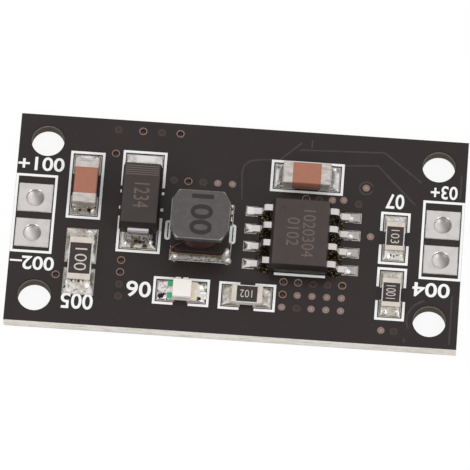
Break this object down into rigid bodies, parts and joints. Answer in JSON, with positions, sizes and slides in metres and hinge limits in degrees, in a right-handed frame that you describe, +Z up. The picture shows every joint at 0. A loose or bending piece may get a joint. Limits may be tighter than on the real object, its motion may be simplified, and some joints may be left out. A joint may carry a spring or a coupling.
{
  "type": "power bank module",
  "caption": "Small black battery charger and booster circuit board with soldered parts, plated wire pads at both ends and a mounting hole near each corner.",
  "frame": {"origin": "middle of the board's bottom face", "axes": "+Z up through the board to the side with the parts; +X along the board's long side, from the battery pads to the input pads; +Y towards the long edge beside the output capacitor"},
  "size_m": [0.03, 0.015, 0.004],
  "materials": {
    "laminate": "pale glass-fibre laminate, sheared edges",
    "solder_mask": "warm black, semi-gloss",
    "white_ink": "printed",
    "tinned_pad": "tinned copper, slightly uneven",
    "via_copper": "plated copper under a thin mask",
    "via_plug": "filled and rounded",
    "solder": "bright solder",
    "capacitor_ceramic": "brown sintered ceramic",
    "capacitor_terminal": "dull tin plate",
    "resistor_ceramic": "white alumina",
    "resistor_coat": "black glaze",
    "resistor_terminal": "tin plate",
    "lamp_base": "white laminate",
    "lamp_lens": "milky clear resin",
    "lamp_mark": "printed green",
    "diode_moulding": "black moulding compound",
    "chip_moulding": "black moulding compound",
    "lead_tin": "tin plate",
    "ferrite": "dark grey ferrite",
    "coil_wire": "enamelled copper wire"
  },
  "bodies": {
    "root": {"laminate_board": "laminate", "solder_mask_top": "solder_mask", "solder_mask_bottom": "solder_mask", "silkscreen": "white_ink", "battery_plus_pad": "tinned_pad", "battery_minus_pad": "tinned_pad", "input_plus_pad": "tinned_pad", "input_minus_pad": "tinned_pad", "wire_hole_solder": "solder", "component_lands": "tinned_pad", "open_vias": "via_copper", "covered_vias": "via_copper", "plugged_vias": "via_plug", "input_cap_body": "capacitor_ceramic", "input_cap_terminals": "capacitor_terminal", "input_cap_solder": "solder", "output_cap_body": "capacitor_ceramic", "output_cap_terminals": "capacitor_terminal", "output_cap_solder": "solder", "sense_resistor_base": "resistor_ceramic", "sense_resistor_coat": "resistor_coat", "sense_resistor_terminals": "resistor_terminal", "sense_resistor_solder": "solder", "led_resistor_base": "resistor_ceramic", "led_resistor_coat": "resistor_coat", "led_resistor_terminals": "resistor_terminal", "led_resistor_solder": "solder", "upper_resistor_base": "resistor_ceramic", "upper_resistor_coat": "resistor_coat", "upper_resistor_terminals": "resistor_terminal", "upper_resistor_solder": "solder", "lower_resistor_base": "resistor_ceramic", "lower_resistor_coat": "resistor_coat", "lower_resistor_terminals": "resistor_terminal", "lower_resistor_solder": "solder", "led_base": "lamp_base", "led_lens": "lamp_lens", "led_terminals": "resistor_terminal", "led_cathode_marks": "lamp_mark", "led_solder": "solder", "diode_body": "diode_moulding", "diode_leads": "lead_tin", "diode_solder": "solder", "coil_core": "ferrite", "coil_winding": "coil_wire", "coil_terminals": "lead_tin", "coil_solder": "solder", "charger_chip_body": "chip_moulding", "charger_chip_leads": "lead_tin", "charger_chip_solder": "solder"}
  },
  "joints": []
}
